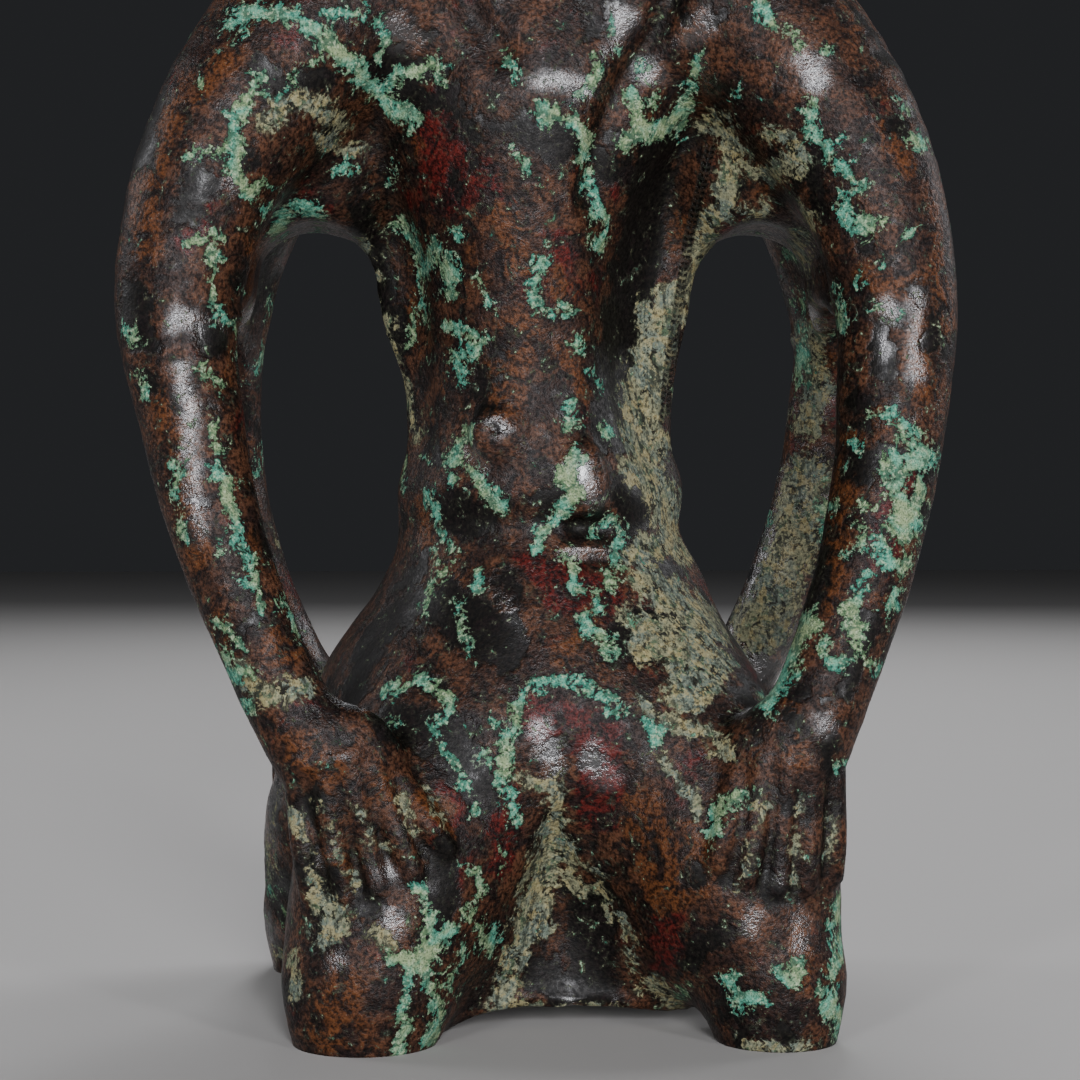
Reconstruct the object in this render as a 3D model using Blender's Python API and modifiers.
"""A small cast bronze: two kneeling figures joined back to back, each with its hands on its own knees.

The casting is one piece. Its masses are named below, each with its own size and place in metres:
limbs that taper along a smooth path, balls, and stacks of level sections. They are first put together
as plain Blender shapes and fused by a voxel remesh. The skin is then drawn onto one flowing surface
that runs through all of the masses, where the strokes of the carving are cut in too. A flat cut at the
ground gives the figure its four level knees.

+Z is up, the front figure faces -Y, and the origin is on the ground below the middle of the casting.
"""

import bmesh
import bpy
import numpy as np
from math import pi, radians
from mathutils import Matrix

# Heights above the ground
TOTAL_HEIGHT = 0.210
CHIN_HEIGHT = 0.1705
SHOULDER_HEIGHT = 0.146
ARMPIT_HEIGHT = 0.116
ELBOW_HEIGHT = 0.103
WAIST_HEIGHT = 0.084
CREASE_HEIGHT = 0.0705
HIP_HEIGHT = 0.046
WRIST_HEIGHT = 0.0435
WEB_CLEARANCE = 0.0030

# Spans from side to side, over the outer surfaces
ELBOW_SPAN = 0.1180
WRIST_SPAN = 0.0818
CHEST_WIDTH = 0.050
WAIST_WIDTH = 0.0400
HIP_WIDTH = 0.0655
HEAD_WIDTH = 0.0315
KNEE_SPAN = 0.0780

# Depths from the front figure's surface to the back figure's
ARM_DEPTH = 0.064
CHEST_DEPTH = 0.052
WAIST_DEPTH = 0.042
BELLY_DEPTH = 0.062
KNEE_DEPTH = 0.075
HEAD_DEPTH = 0.050

# Thicknesses
UPPER_ARM = 0.0205
ELBOW = 0.0174
LEFT_WRIST = 0.0112
RIGHT_WRIST = 0.0128
SEAM_RIDGE = 0.0110
THIGH = 0.0335
LEFT_KNEE = 0.0222
RIGHT_KNEE = 0.0188
FINGER = 0.0038
FOREARM_BOW = 0.0036
HAND_WIDTH = 0.0152
FINGERS = 5

# The front figure was modelled by hand, so it isn't quite even: its knees sit to one side and its
# chest to the other, and the back figure, turned half round, leans the opposite ways.
KNEE_SHIFT = 0.0026
WRIST_SHIFT = 0.0016
ELBOW_SHIFT = -0.0007
CHEST_SHIFT = -0.0028
LEFT_HAND = -0.0275
RIGHT_HAND = 0.0325

# A millimetre of the figure as it is built. The carving keeps its proportions through it.
MM = TOTAL_HEIGHT / 210

# How the skin is worked
FIRST_VOXEL = 0.0022
VOXEL = 0.0014
PATH_STEPS = 4
SETTLE_ROUNDS = 3
LONGEST_STEP = 0.0020
FAR = 0.010
TRIANGLES = 9300

BRONZE_COLOUR = (0.105, 0.046, 0.026, 1.0)


def smooth_rows(rows, steps=PATH_STEPS):
    """Rows of numbers with a smooth curve drawn through them, so that each column flows."""
    rows = np.array(rows, float)
    padded = np.vstack([2 * rows[0] - rows[1], rows, 2 * rows[-1] - rows[-2]])
    t = np.arange(steps)[:, None] / steps
    runs = []
    for a, b, c, d in zip(padded, padded[1:], padded[2:], padded[3:]):
        runs.append(b + 0.5 * t * (c - a + t * (2 * a - 5 * b + 4 * c - d + t * (3 * (b - c) + d - a))))
    return np.vstack(runs + [rows[-1:]])


def blend(first, second, reach):
    """The union of two distance fields, with a fillet about as wide as reach."""
    share = np.clip(0.5 + 0.5 * (second - first) / reach, 0, 1)
    return second + (first - second) * share - reach * share * (1 - share)


class Mass:
    """A simple form. Its reach is the width of the fillet where it meets the others."""

    def enclose(self, low, high, reach):
        self.low = low - FAR
        self.high = high + FAR
        self.reach = reach

    def near(self, points):
        return ((points > self.low) & (points < self.high)).all(axis=1)


class Limb(Mass):
    """A limb that tapers along a path of (x, y, z, radius) rows. Stretch deepens it front to back."""

    def __init__(self, rows, stretch=1.0, reach=4 * MM, steps=PATH_STEPS):
        self.rows = smooth_rows(rows, steps)
        self.stretch = stretch
        thick = self.rows[:, 3:] * (1, stretch, 1)
        self.enclose((self.rows[:, :3] - thick).min(axis=0), (self.rows[:, :3] + thick).max(axis=0), reach)

    def distance(self, points):
        scale = np.array([1, 1 / self.stretch, 1])
        points = points * scale
        path = self.rows[:, :3] * scale
        radii = self.rows[:, 3]
        nearest = np.full(len(points), np.inf)
        for start, end, r0, r1 in zip(path, path[1:], radii, radii[1:]):
            along = end - start
            t = np.clip((points - start) @ along / (along @ along), 0, 1)
            gap = np.linalg.norm(points - start - t[:, None] * along, axis=1) - (r0 + (r1 - r0) * t)
            nearest = np.minimum(nearest, gap)
        return nearest

    def seed(self):
        curve = bpy.data.curves.new("limb", "CURVE")
        curve.dimensions = "3D"
        curve.bevel_depth = 1.0
        curve.bevel_resolution = 3
        curve.use_fill_caps = True
        spline = curve.splines.new("POLY")
        spline.points.add(len(self.rows) - 1)
        for point, (x, y, z, radius) in zip(spline.points, self.rows):
            point.co = (x, y / self.stretch, z, 1)
            point.radius = radius
        limb = bpy.data.objects.new("limb", curve)
        limb.scale.y = self.stretch
        return limb


class Ball(Mass):
    """An ellipsoid with its own half sizes, nodding by tilt about the X axis."""

    def __init__(self, centre, half, tilt=0.0, reach=4 * MM):
        self.centre = np.array(centre, float)
        self.half = np.array(half, float)
        self.tilt = tilt
        widest = np.array([half[0], max(half[1:]), max(half[1:])])
        self.enclose(self.centre - widest, self.centre + widest, reach)

    def distance(self, points):
        c, s = np.cos(self.tilt), np.sin(self.tilt)
        turn = np.array([[1, 0, 0], [0, c, -s], [0, s, c]])
        local = (points - self.centre) @ turn / self.half
        size = np.linalg.norm(local, axis=1)
        return size * (size - 1) / np.maximum(np.linalg.norm(local / self.half, axis=1), 1e-9)

    def seed(self):
        mesh = bpy.data.meshes.new("ball")
        shape = bmesh.new()
        bmesh.ops.create_uvsphere(shape, u_segments=24, v_segments=14, radius=1.0)
        shape.to_mesh(mesh)
        shape.free()
        ball = bpy.data.objects.new("ball", mesh)
        ball.location = self.centre
        ball.rotation_euler.x = self.tilt
        ball.scale = self.half
        return ball


class Stack(Mass):
    """Level oval sections, given as (z, x, y, half width, half depth) rows from the bottom up."""

    def __init__(self, rows, reach=4 * MM):
        self.rows = smooth_rows(rows)
        z, x, y, width, depth = self.rows.T
        low = np.array([(x - width).min(), (y - depth).min(), z[0]])
        high = np.array([(x + width).max(), (y + depth).max(), z[-1]])
        self.enclose(low, high, reach)

    def distance(self, points):
        z = self.rows[:, 0]
        x, y, width, depth = (np.interp(points[:, 2], z, column) for column in self.rows[:, 1:].T)
        dx, dy = points[:, 0] - x, points[:, 1] - y
        size = np.hypot(dx / width, dy / depth)
        level = size * (size - 1) / np.maximum(np.hypot(dx / width**2, dy / depth**2), 1e-9)
        return np.maximum(level, np.maximum(z[0] - points[:, 2], points[:, 2] - z[-1]))

    def seed(self):
        mesh = bpy.data.meshes.new("stack")
        shape = bmesh.new()
        rings = []
        for z, x, y, width, depth in self.rows:
            ring = bmesh.ops.create_circle(shape, segments=28, radius=1.0, cap_ends=False)["verts"]
            for vert in ring:
                vert.co = (x + vert.co.x * width, y + vert.co.y * depth, z)
            rings.append({edge for vert in ring for edge in vert.link_edges})
        for lower, upper in zip(rings, rings[1:]):
            bmesh.ops.bridge_loops(shape, edges=list(lower | upper))
        bmesh.ops.holes_fill(shape, edges=shape.edges)
        bmesh.ops.recalc_face_normals(shape, faces=shape.faces)
        shape.to_mesh(mesh)
        shape.free()
        return bpy.data.objects.new("stack", mesh)


def mirrored(rows, side):
    """Rows that start with x, placed on the left (-1) or the right (1)."""
    return [(side * x, *rest) for x, *rest in rows]


def arm(side, wrist, forearm_bow):
    """One arm: from the neck over the shoulder, down the outside and bowed in to the wrist on the thigh."""
    elbow_x = (ELBOW_SPAN - ELBOW) / 2 + side * ELBOW_SHIFT
    elbow_y = (ELBOW - ARM_DEPTH) / 2
    wrist_x = (WRIST_SPAN - wrist) / 2 + side * WRIST_SHIFT
    wrist_y = (wrist - KNEE_DEPTH) / 2
    rows = [
        (0.22 * elbow_x, 0.35 * elbow_y, SHOULDER_HEIGHT + 3 * MM, 12.5 * MM),
        (0.55 * elbow_x, 0.60 * elbow_y, SHOULDER_HEIGHT - 1 * MM, 13 * MM),
        (0.77 * elbow_x, 0.80 * elbow_y, SHOULDER_HEIGHT - 12 * MM, 12 * MM),
        (0.925 * elbow_x, 0.92 * elbow_y, ARMPIT_HEIGHT + 4 * MM, UPPER_ARM / 2),
    ]
    for share, thinned in ((0, 0), (0.25, 0.42), (0.5, 0.72), (0.75, 0.95), (1, 1)):
        radius = (ELBOW + (wrist - ELBOW) * thinned) / 2
        x = elbow_x + (wrist_x - elbow_x) * share + forearm_bow * np.sin(pi * share)
        y = elbow_y + (wrist_y - elbow_y) * share
        z = ELBOW_HEIGHT + (WRIST_HEIGHT - ELBOW_HEIGHT) * share
        rows.append((x, y, z, radius))
    rows.append((0.89 * wrist_x, 0.985 * wrist_y, WRIST_HEIGHT - 7 * MM, 0.36 * wrist))
    return Limb(mirrored(rows, side), reach=6 * MM)


def thigh(side, knee_width, shift):
    """One thigh, from the hip forward and down into the knee, and on through the ground."""
    knee_x = (KNEE_SPAN - knee_width) / 2
    knee_y = (knee_width - KNEE_DEPTH) / 2
    rows = [
        (0.50 * knee_x, 0.42 * knee_y, 0.88 * HIP_HEIGHT, 0.46 * THIGH),
        (0.58 * knee_x, 0.56 * knee_y, 0.77 * HIP_HEIGHT, 0.49 * THIGH),
        (0.78 * knee_x, 0.76 * knee_y, 0.54 * HIP_HEIGHT, 0.47 * THIGH),
        (0.95 * knee_x, 0.95 * knee_y, 0.30 * HIP_HEIGHT, 0.54 * knee_width),
        (knee_x, knee_y, 0.15 * HIP_HEIGHT, 0.50 * knee_width),
        (knee_x, knee_y, -0.10 * HIP_HEIGHT, 0.39 * knee_width),
    ]
    return Limb([(side * x + shift, *rest) for x, *rest in rows], reach=9 * MM)


def shin(side, knee_width, shift):
    """One shin, folded back along the ground from the knee into the web below the body."""
    knee_x = (KNEE_SPAN - knee_width) / 2
    knee_y = (knee_width - KNEE_DEPTH) / 2
    rows = [
        (side * 0.90 * knee_x + shift, 0.90 * knee_y, 12 * MM, 0.42 * knee_width),
        (side * 0.62 * knee_x + 0.6 * shift, 0.52 * knee_y, 13 * MM, 0.42 * knee_width),
        (side * 0.35 * knee_x, 0.10 * knee_y, 13 * MM, 0.42 * knee_width),
    ]
    return Limb(rows, reach=9 * MM)


def chest():
    """The front figure's own trunk, from the belly up between the shoulders."""
    front = -CHEST_DEPTH / 2
    waist = -WAIST_DEPTH / 2
    belly = -BELLY_DEPTH / 2
    sections = [
        (0.60 * HIP_HEIGHT, 1 * MM, 0.74 * belly, 7 * MM),
        (0.69 * HIP_HEIGHT, 1.4 * MM, 0.88 * belly, 12 * MM),
        (0.80 * HIP_HEIGHT, 2.5 * MM, 0.97 * belly, 19 * MM),
        (0.95 * HIP_HEIGHT, 3 * MM, belly, 25.5 * MM),
        (1.12 * HIP_HEIGHT, 2.5 * MM, 0.95 * belly, 25.5 * MM),
        (1.35 * HIP_HEIGHT, 1 * MM, 0.80 * belly, 21.2 * MM),
        (CREASE_HEIGHT, 0.0, 0.98 * waist, 18.2 * MM),
        (CREASE_HEIGHT + 6 * MM, -0.5 * MM, 1.04 * waist, 17.6 * MM),
        (WAIST_HEIGHT, 0.4 * CHEST_SHIFT, waist, 15.2 * MM),
        (0.5 * (WAIST_HEIGHT + ELBOW_HEIGHT), 0.8 * CHEST_SHIFT, 0.98 * waist, 13.8 * MM),
        (ELBOW_HEIGHT + 4 * MM, CHEST_SHIFT, 0.86 * front, 13.8 * MM),
        (ARMPIT_HEIGHT + 2 * MM, 0.9 * CHEST_SHIFT, 0.93 * front, 17.2 * MM),
        (ARMPIT_HEIGHT + 14 * MM, 0.5 * CHEST_SHIFT, front, 23.5 * MM),
        (SHOULDER_HEIGHT - 6 * MM, 0.2 * CHEST_SHIFT, 0.98 * front, 25.5 * MM),
        (SHOULDER_HEIGHT + 4 * MM, 0.0, 0.86 * front, 22.5 * MM),
        (SHOULDER_HEIGHT + 10 * MM, 0.0, 0.62 * front, 15 * MM),
        (SHOULDER_HEIGHT + 13 * MM, 0.0, 0.40 * front, 8 * MM),
    ]
    rows = [(z, x, 0.24 * y, width, -0.76 * y) for z, x, y, width in sections]
    return Stack(rows, reach=4.5 * MM)


def seam_ridge():
    """The flange down each side where the two trunks were joined, and the hips that they share."""
    flat = SEAM_RIDGE / 2
    waist = WAIST_WIDTH / 2
    hip = HIP_WIDTH / 2
    side = CHEST_WIDTH / 2
    rows = [
        (0.70 * HIP_HEIGHT, 0, 0, 0.92 * hip, 22 * MM),
        (0.95 * HIP_HEIGHT, 0.6 * MM, 0, 0.98 * hip, 21 * MM),
        (1.10 * HIP_HEIGHT, 0.4 * MM, 0, 0.93 * hip, 19 * MM),
        (1.25 * HIP_HEIGHT, 0.8 * MM, 0, 0.825 * hip, 17 * MM),
        (1.42 * HIP_HEIGHT, 1.7 * MM, 0, 0.69 * hip, 15 * MM),
        (CREASE_HEIGHT, 0.8 * MM, 0, 1.045 * waist, 13.5 * MM),
        (CREASE_HEIGHT + 7 * MM, 0.8 * MM, 0, 1.06 * waist, 12.5 * MM),
        (WAIST_HEIGHT, 0.6 * MM, 0, 0.985 * waist, 1.8 * flat),
        (WAIST_HEIGHT + 9 * MM, 0.4 * MM, 0, 1.015 * waist, 1.4 * flat),
        (ELBOW_HEIGHT - 2 * MM, 0, 0, 0.905 * side, 1.1 * flat),
        (ELBOW_HEIGHT + 6 * MM, 0, 0, side, flat),
        (ARMPIT_HEIGHT, 0.6 * MM, 0, 1.12 * side, flat),
        (ARMPIT_HEIGHT + 8 * MM, 0, 0, 1.30 * side, 1.2 * flat),
        (SHOULDER_HEIGHT, 0, 0, 1.30 * side, 2.2 * flat),
    ]
    return Stack(rows, reach=4 * MM)


def arm_web(side):
    """The bronze that joins the front and back figures' upper arms, down to the fork at the elbows."""
    elbow_x = (ELBOW_SPAN - ELBOW) / 2
    rows = [
        (0.960 * elbow_x, 0, ELBOW_HEIGHT - 2 * MM, 8 * MM),
        (0.955 * elbow_x, 0, ARMPIT_HEIGHT, 9 * MM),
        (0.850 * elbow_x, 0, SHOULDER_HEIGHT - 13 * MM, 10.8 * MM),
        (0.600 * elbow_x, 0, SHOULDER_HEIGHT - 1 * MM, 12.5 * MM),
        (0.240 * elbow_x, 0, SHOULDER_HEIGHT + 4 * MM, 12.5 * MM),
    ]
    return Limb(mirrored(rows, side), stretch=1.8, reach=7 * MM)


def pedestal():
    """The web between the four legs."""
    rows = [
        (WEB_CLEARANCE, 0, 0, 28.5 * MM, 20 * MM),
        (0.15 * HIP_HEIGHT, 0, 0, 28.5 * MM, 19 * MM),
        (0.35 * HIP_HEIGHT, 0, 0, 28 * MM, 20 * MM),
        (0.55 * HIP_HEIGHT, 0, 0, 27 * MM, 22.2 * MM),
        (0.75 * HIP_HEIGHT, 0, 0, 28 * MM, 24.5 * MM),
        (0.90 * HIP_HEIGHT, 0, 0, 29 * MM, 24.5 * MM),
    ]
    return Stack(rows, reach=4 * MM)


def niche(way):
    """The tall hollow between the thighs, under the belly. Way is 1 on the front and -1 on the back."""
    rows = [
        (-5 * MM, 3 * MM, 11.4 * MM, 13 * MM),
        (2 * MM, 3 * MM, 11.3 * MM, 13 * MM),
        (0.15 * HIP_HEIGHT, 2.9 * MM, 10.9 * MM, 15 * MM),
        (0.27 * HIP_HEIGHT, 2.5 * MM, 9.1 * MM, 15.6 * MM),
        (0.39 * HIP_HEIGHT, 2.2 * MM, 7.4 * MM, 14.6 * MM),
        (0.50 * HIP_HEIGHT, 1.6 * MM, 5.3 * MM, 12.6 * MM),
        (0.61 * HIP_HEIGHT, 1.1 * MM, 2.9 * MM, 9.4 * MM),
        (0.69 * HIP_HEIGHT, 1.1 * MM, 1.2 * MM, 6.5 * MM),
    ]
    front = -0.453 * KNEE_DEPTH
    return Stack([(z, way * x, way * front, width, depth) for z, x, width, depth in rows], reach=1.8 * MM)


def armpit(side):
    """The thick web between the shoulder and the trunk, over the gap inside the arm."""
    place = (side * 0.56 * ELBOW_SPAN / 2, 0, ARMPIT_HEIGHT + 12 * MM)
    return Ball(place, (0.125 * ELBOW_SPAN, 0.25 * ARM_DEPTH, 18 * MM), reach=5 * MM)


def arch(side):
    """The round top of the gap between the arm and the trunk."""
    place = (side * 0.555 * ELBOW_SPAN / 2, 0, ARMPIT_HEIGHT - 10 * MM)
    return Ball(place, (0.072 * ELBOW_SPAN, 0.47 * ARM_DEPTH, 10.2 * MM), reach=3 * MM)


def fork(side):
    """The arch that parts the front and back figures' forearms below the elbows."""
    middle = (0, ELBOW_HEIGHT - 14 * MM)
    half = (0.5 * ELBOW_SPAN * 0.3, 0.5 * ARM_DEPTH - ELBOW + 1 * MM, 16.5 * MM)
    return Ball((side * 0.45 * ELBOW_SPAN, *middle), half, reach=6 * MM)


def skull():
    """The dome of the head, which both faces share."""
    middle = (TOTAL_HEIGHT + CHIN_HEIGHT) / 2
    tall = (TOTAL_HEIGHT - CHIN_HEIGHT) / 2
    half = (0.49 * HEAD_WIDTH, 0.40 * HEAD_DEPTH, 0.86 * tall)
    return Ball((0, 0, middle + 0.14 * tall), half, reach=6 * MM)


def head():
    """A head with a cap of hair and a calm, plain face on even proportions."""
    width = HEAD_WIDTH / 2
    front = -HEAD_DEPTH / 2
    middle = (TOTAL_HEIGHT + CHIN_HEIGHT) / 2
    tall = (TOTAL_HEIGHT - CHIN_HEIGHT) / 2
    brain = (width, 0.60 * -front, 0.80 * tall)
    jaw = (0.86 * width, 0.49 * -front, 0.60 * tall)
    chin = (0.34 * width, 0.18 * -front, 0.15 * tall)
    nose = [(0, 0.94 * front, middle + 0.10 * tall, 1.3 * MM),
            (0, 1.03 * front, middle - 0.30 * tall, 2 * MM)]
    masses = [
        Ball((0, 0.38 * front, middle + 0.10 * tall), brain, reach=5 * MM),
        Ball((0, 0.46 * front, middle - 0.30 * tall), jaw, reach=6 * MM),
        Ball((0, 0.76 * front, middle - 0.84 * tall), chin, reach=5 * MM),
        Limb(nose, reach=1.8 * MM),
        Ball((0, 0.925 * front, middle - 0.53 * tall), (4.4 * MM, 1.6 * MM, 1.1 * MM), reach=0.8 * MM),
        Ball((0, 0.905 * front, middle - 0.64 * tall), (3.6 * MM, 1.6 * MM, 1.2 * MM), reach=0.8 * MM),
    ]
    for side in (-1, 1):
        brow = [(0.10 * width, 0.97 * front, middle + 0.14 * tall, 1.3 * MM),
                (0.45 * width, 0.91 * front, middle + 0.20 * tall, 1.4 * MM),
                (0.78 * width, 0.70 * front, middle + 0.12 * tall, 1.2 * MM)]
        ear = [(1.09 * width, 0.33 * front, middle + 0.12 * tall, 1.9 * MM),
               (1.12 * width, 0.27 * front, middle - 0.08 * tall, 2.1 * MM),
               (1.04 * width, 0.35 * front, middle - 0.34 * tall, 1.6 * MM)]
        eye = (side * 0.42 * width, 0.865 * front, middle - 0.03 * tall)
        masses += [
            Limb(mirrored(brow, side), reach=1.6 * MM),
            Ball(eye, (3.6 * MM, 2 * MM, 1.8 * MM), reach=0.6 * MM),
            Limb(mirrored(ear, side), stretch=1.3, reach=1 * MM),
        ]
    return masses


def eye_hollow(side, way):
    """The hollow below one brow. Way is 1 for the front face and -1 for the back one."""
    middle = (TOTAL_HEIGHT + CHIN_HEIGHT) / 2
    tall = (TOTAL_HEIGHT - CHIN_HEIGHT) / 2
    place = (side * 0.23 * HEAD_WIDTH, way * -0.475 * HEAD_DEPTH, middle - 0.02 * tall)
    return Ball(place, (4.6 * MM, 2.6 * MM, 3 * MM), reach=2 * MM)


def neck():
    """The neck that carries both heads."""
    rows = [
        (0, 0, SHOULDER_HEIGHT - 6 * MM, 17 * MM),
        (0, 0, SHOULDER_HEIGHT + 11 * MM, 12.2 * MM),
        (0, 0, CHIN_HEIGHT, 11.4 * MM),
        (0, 0, CHIN_HEIGHT + 10 * MM, 12 * MM),
    ]
    return Limb(rows, stretch=1.25, reach=6 * MM)


class Casting:
    """All of the masses. Those of the two figures face -Y, and the back figure is turned half round."""

    def __init__(self, shared, front, back, hollows):
        self.shared = shared
        self.front = front
        self.back = back
        self.hollows = hollows
        self.strokes = []

    def distance(self, points):
        turned = points * (-1, -1, 1)
        uses = [(mass, points) for mass in self.shared + self.front]
        uses += [(mass, turned) for mass in self.back]
        whole = np.full(len(points), FAR)
        for mass, view in uses:
            near = mass.near(view)
            whole[near] = blend(whole[near], mass.distance(view[near]), mass.reach)
        for hollow in self.hollows:
            near = hollow.near(points)
            whole[near] = -blend(-whole[near], hollow.distance(points[near]), hollow.reach)
        for stroke in self.strokes:
            whole += stroke.depth_at(points) + stroke.depth_at(turned)
        return whole

    def distance_and_slope(self, points, reach=0.2 * MM):
        corners = np.array([[1, -1, -1], [-1, 1, -1], [-1, -1, 1], [1, 1, 1]])
        values = [self.distance(points + reach * corner) for corner in corners]
        slope = sum(value[:, None] * corner for value, corner in zip(values, corners)) / (4 * reach)
        return sum(values) / 4, slope

    def front_skin(self, x, z):
        """How far forward the skin lies at these places, found by closing in on it from the front."""
        points = np.stack([np.array(x), np.full(len(x), -KNEE_DEPTH), np.array(z)], axis=1)
        for _ in range(30):
            points[:, 1] = np.minimum(points[:, 1] + 0.8 * self.distance(points), -0.2 * KNEE_DEPTH)
        return points[:, 1]


class Stroke:
    """A line of (x, z) points on the front. It cuts the skin, or raises it if its depth is negative."""

    def __init__(self, rows, width, depth):
        self.rows = np.array(rows, float)
        self.width = width
        self.depth = depth

    def depth_at(self, points):
        flat = points[:, [0, 2]]
        nearest = np.linalg.norm(flat - self.rows[0], axis=1)
        for start, end in zip(self.rows, self.rows[1:]):
            along = end - start
            t = np.clip((flat - start) @ along / (along @ along), 0, 1)
            nearest = np.minimum(nearest, np.linalg.norm(flat - start - t[:, None] * along, axis=1))
        facing = np.clip(-points[:, 1] / (6 * MM) - 1, 0, 1)
        return self.depth * facing * np.exp(-((nearest / self.width) ** 2))


def trunk_details(casting):
    """The raised forms on the front of the waist, laid on the skin: a knob and an upright bump."""
    x, z = np.array([-6.6 * MM, 6 * MM]), WAIST_HEIGHT + np.array([0.6 * MM, -6 * MM])
    halves = [(3.6 * MM, 2.1 * MM, 3.4 * MM), (2.8 * MM, 1.8 * MM, 5.2 * MM)]
    skin = casting.front_skin(x, z)
    return [Ball(place, half, reach=3 * MM) for place, half in zip(zip(x, skin, z), halves)]


def trunk_strokes():
    """The grooves beside the breasts, the ridge down the front and the creases above the belly."""
    breast = ARMPIT_HEIGHT
    crease = CREASE_HEIGHT
    return [
        Stroke([(20 * MM, breast + 37 * MM), (15.5 * MM, breast + 25 * MM), (10.5 * MM, breast + 16 * MM),
                (7.8 * MM, breast + 8 * MM), (6.6 * MM, breast + 2 * MM)], width=2.2 * MM, depth=2.1 * MM),
        Stroke([(-15 * MM, breast + 37 * MM), (-9.8 * MM, breast + 26.5 * MM),
                (-6.1 * MM, breast + 21.5 * MM)], width=2.4 * MM, depth=1.3 * MM),
        Stroke([(4.5 * MM, breast + 1 * MM), (5.5 * MM, breast - 16 * MM), (5.5 * MM, breast - 29 * MM)],
               width=2.4 * MM, depth=-0.7 * MM),
        Stroke([(2.2 * MM, crease + 0.9 * MM), (10.6 * MM, crease + 0.9 * MM)],
               width=1.4 * MM, depth=1.4 * MM),
        Stroke([(-20 * MM, crease + 1.2 * MM), (2 * MM, crease)], width=1.8 * MM, depth=0.3 * MM),
    ]


def hand_back(middle, wrist):
    """The back of one hand, which runs on from the wrist over the thigh."""
    place = (middle, (wrist - KNEE_DEPTH) / 2 - 0.2 * MM, WRIST_HEIGHT - 4.6 * MM)
    return Ball(place, (HAND_WIDTH / 2, 4.8 * MM, 8.6 * MM), tilt=0.22, reach=4 * MM)


def palm(side, middle):
    """The flesh under the fingers of one hand, which rounds the outer edge of the thigh."""
    place = (middle + side * 3.5 * MM, 7.4 * MM - KNEE_DEPTH / 2, WRIST_HEIGHT - 15.5 * MM)
    return Ball(place, (3.9 * MM, 4.6 * MM, 10 * MM), reach=4 * MM)


def fingers(casting, middle, tips, tip_heights):
    """The five fingers of one hand, which fan from its back down over the thigh to the knee."""
    root_z = WRIST_HEIGHT - 6 * MM
    masses = []
    for share in np.linspace(0, 1, FINGERS):
        lift = 2.2 * MM * np.sin(pi * share)
        tip_z = tip_heights[0] + (tip_heights[1] - tip_heights[0]) * share - lift
        tip_x = tips[0] + (tips[1] - tips[0]) * share
        root_x = middle + np.sign(tips[1] - tips[0]) * HAND_WIDTH * 0.43 * (2 * share - 1)
        along = np.array([0, 0.3, 0.65, 1])
        x = root_x + (tip_x - root_x) * along
        z = root_z + lift + (tip_z - root_z - lift) * along
        radii = FINGER * np.array([0.50, 0.54, 0.50, 0.40])
        skin = casting.front_skin(x, z) + FINGER * np.array([0.40, 0.15, -0.10, 0.10])
        masses.append(Limb(np.stack([x, skin, z, radii], axis=1), reach=0.8 * MM, steps=3))
    return masses


def figure_masses(bow):
    """The trunk, legs and arms of one figure. Its right forearm is bowed a little more or less."""
    return [
        chest(),
        thigh(-1, LEFT_KNEE, KNEE_SHIFT),
        thigh(1, RIGHT_KNEE, KNEE_SHIFT),
        shin(-1, LEFT_KNEE, KNEE_SHIFT),
        shin(1, RIGHT_KNEE, KNEE_SHIFT),
        arm(-1, LEFT_WRIST, FOREARM_BOW),
        arm(1, RIGHT_WRIST, bow),
        hand_back(LEFT_HAND, LEFT_WRIST),
        hand_back(RIGHT_HAND, RIGHT_WRIST),
        palm(-1, LEFT_HAND),
        palm(1, RIGHT_HAND),
    ]


def whole_casting():
    """The masses of the whole figure, with the hands and small forms laid on the skin of the rest."""
    shared = [pedestal(), seam_ridge(), neck(), skull()]
    shared += [web(side) for web in (arm_web, armpit) for side in (-1, 1)]
    hollows = [cut(side) for cut in (arch, fork) for side in (-1, 1)]
    hollows += [niche(way) for way in (-1, 1)]
    hollows += [eye_hollow(side, way) for side in (-1, 1) for way in (-1, 1)]
    front, back = figure_masses(FOREARM_BOW), figure_masses(1.4 * FOREARM_BOW)
    casting = Casting(shared, front, back, hollows)
    laid_on = fingers(casting, LEFT_HAND, tips=(-32.5 * MM, -14 * MM), tip_heights=(22 * MM, 28 * MM))
    laid_on += fingers(casting, RIGHT_HAND, tips=(39.2 * MM, 22.8 * MM), tip_heights=(23.5 * MM, 26.5 * MM))
    casting.front += trunk_details(casting) + laid_on + head()
    casting.back += laid_on + head()
    casting.strokes = trunk_strokes()
    return casting


def remeshed(mesh, voxel):
    """This mesh made into one even skin of small squares."""
    shape = bpy.data.objects.new("skin", mesh)
    bpy.context.scene.collection.objects.link(shape)
    modifier = shape.modifiers.new("Remesh", "REMESH")
    modifier.mode = "VOXEL"
    modifier.voxel_size = voxel
    graph = bpy.context.evaluated_depsgraph_get()
    skin = bpy.data.meshes.new_from_object(shape.evaluated_get(graph))
    bpy.data.objects.remove(shape)
    return skin


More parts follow.
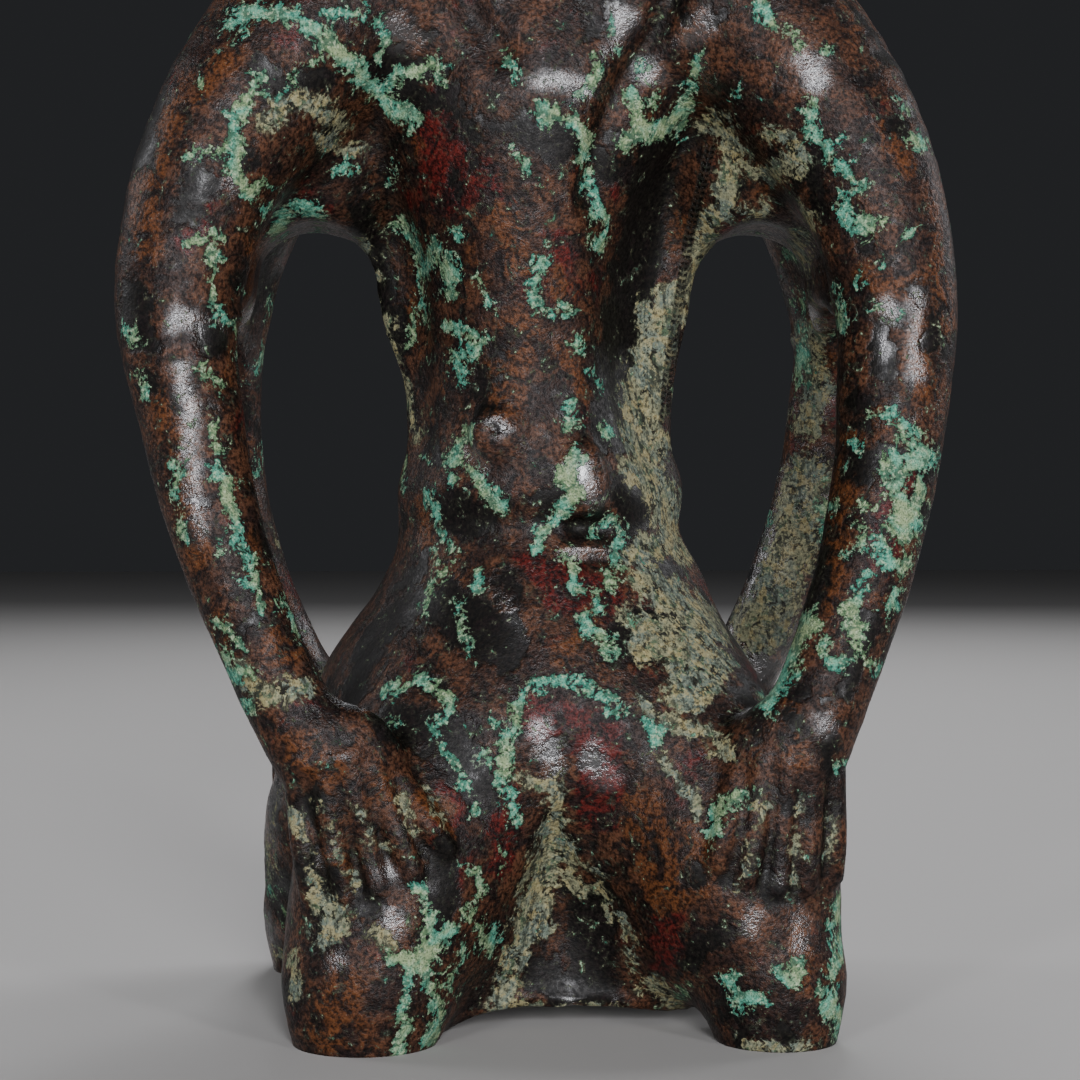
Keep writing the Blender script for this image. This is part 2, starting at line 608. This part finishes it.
def fused_seeds(casting):
    """The masses as plain Blender shapes, all in one mesh, with the back figure's turned half round."""
    fused = bmesh.new()
    seeds = [(mass, 0) for mass in casting.shared + casting.front] + [(mass, pi) for mass in casting.back]
    for mass, turn in seeds:
        seed = mass.seed()
        bpy.context.scene.collection.objects.link(seed)
        bpy.context.view_layer.update()
        graph = bpy.context.evaluated_depsgraph_get()
        mesh = bpy.data.meshes.new_from_object(seed.evaluated_get(graph))
        mesh.transform(Matrix.Rotation(turn, 4, "Z") @ seed.matrix_world)
        fused.from_mesh(mesh)
        bpy.data.objects.remove(seed)
        bpy.data.meshes.remove(mesh)
    bmesh.ops.remove_doubles(fused, verts=fused.verts, dist=0.00001)
    mesh = bpy.data.meshes.new("seeds")
    fused.to_mesh(mesh)
    fused.free()
    return mesh


def settle(mesh, casting, rounds):
    """Each point of the mesh moved onto the skin that flows through all of the masses."""
    points = np.empty(len(mesh.vertices) * 3, np.float32)
    mesh.vertices.foreach_get("co", points)
    points = points.reshape(-1, 3).astype(float)
    for _ in range(rounds):
        distance, slope = casting.distance_and_slope(points)
        steepness = np.maximum((slope**2).sum(axis=1), 0.2)
        points -= np.clip(distance / steepness, -LONGEST_STEP, LONGEST_STEP)[:, None] * slope
    mesh.vertices.foreach_set("co", points.astype(np.float32).ravel())
    mesh.update()


def bronze():
    """Old bronze: mostly a warm dark brown under its patina."""
    material = bpy.data.materials.new("patinated_bronze")
    material.use_nodes = True
    shader = material.node_tree.nodes["Principled BSDF"]
    shader.inputs["Base Color"].default_value = BRONZE_COLOUR
    shader.inputs["Metallic"].default_value = 0.6
    shader.inputs["Roughness"].default_value = 0.45
    return material


def ground_cutter(collection):
    """A block below the ground, which cuts the knees level."""
    mesh = bpy.data.meshes.new("ground_cutter")
    shape = bmesh.new()
    bmesh.ops.create_cube(shape, size=ELBOW_SPAN)
    shape.to_mesh(mesh)
    shape.free()
    block = bpy.data.objects.new("ground_cutter", mesh)
    block.location.z = -ELBOW_SPAN / 2
    block.hide_render = True
    block.display_type = "WIRE"
    collection.objects.link(block)
    return block


def kneeling_figure(parts, cutters):
    """The one casting, thinned to a modest number of triangles and cut level below."""
    casting = whole_casting()
    skin = remeshed(fused_seeds(casting), FIRST_VOXEL)
    settle(skin, casting, SETTLE_ROUNDS)
    skin = remeshed(skin, VOXEL)
    settle(skin, casting, SETTLE_ROUNDS)
    figure = bpy.data.objects.new("kneeling_figure", skin)
    parts.objects.link(figure)
    thin = figure.modifiers.new("Thin", "DECIMATE")
    thin.ratio = TRIANGLES / (2 * len(skin.polygons))
    cut = figure.modifiers.new("Ground", "BOOLEAN")
    cut.operation = "DIFFERENCE"
    cut.solver = "EXACT"
    cut.object = ground_cutter(cutters)
    graph = bpy.context.evaluated_depsgraph_get()
    figure.data = bpy.data.meshes.new_from_object(figure.evaluated_get(graph))
    figure.modifiers.clear()
    figure.data.materials.append(bronze())
    figure.data.shade_smooth()
    figure.data.set_sharp_from_angle(angle=radians(60))
    return figure


def main():
    for old in list(bpy.data.objects):
        bpy.data.objects.remove(old)
    parts = bpy.data.collections.new("kneeling bronze")
    cutters = bpy.data.collections.new("cutters")
    for collection in (parts, cutters):
        bpy.context.scene.collection.children.link(collection)
    kneeling_figure(parts, cutters)


main()
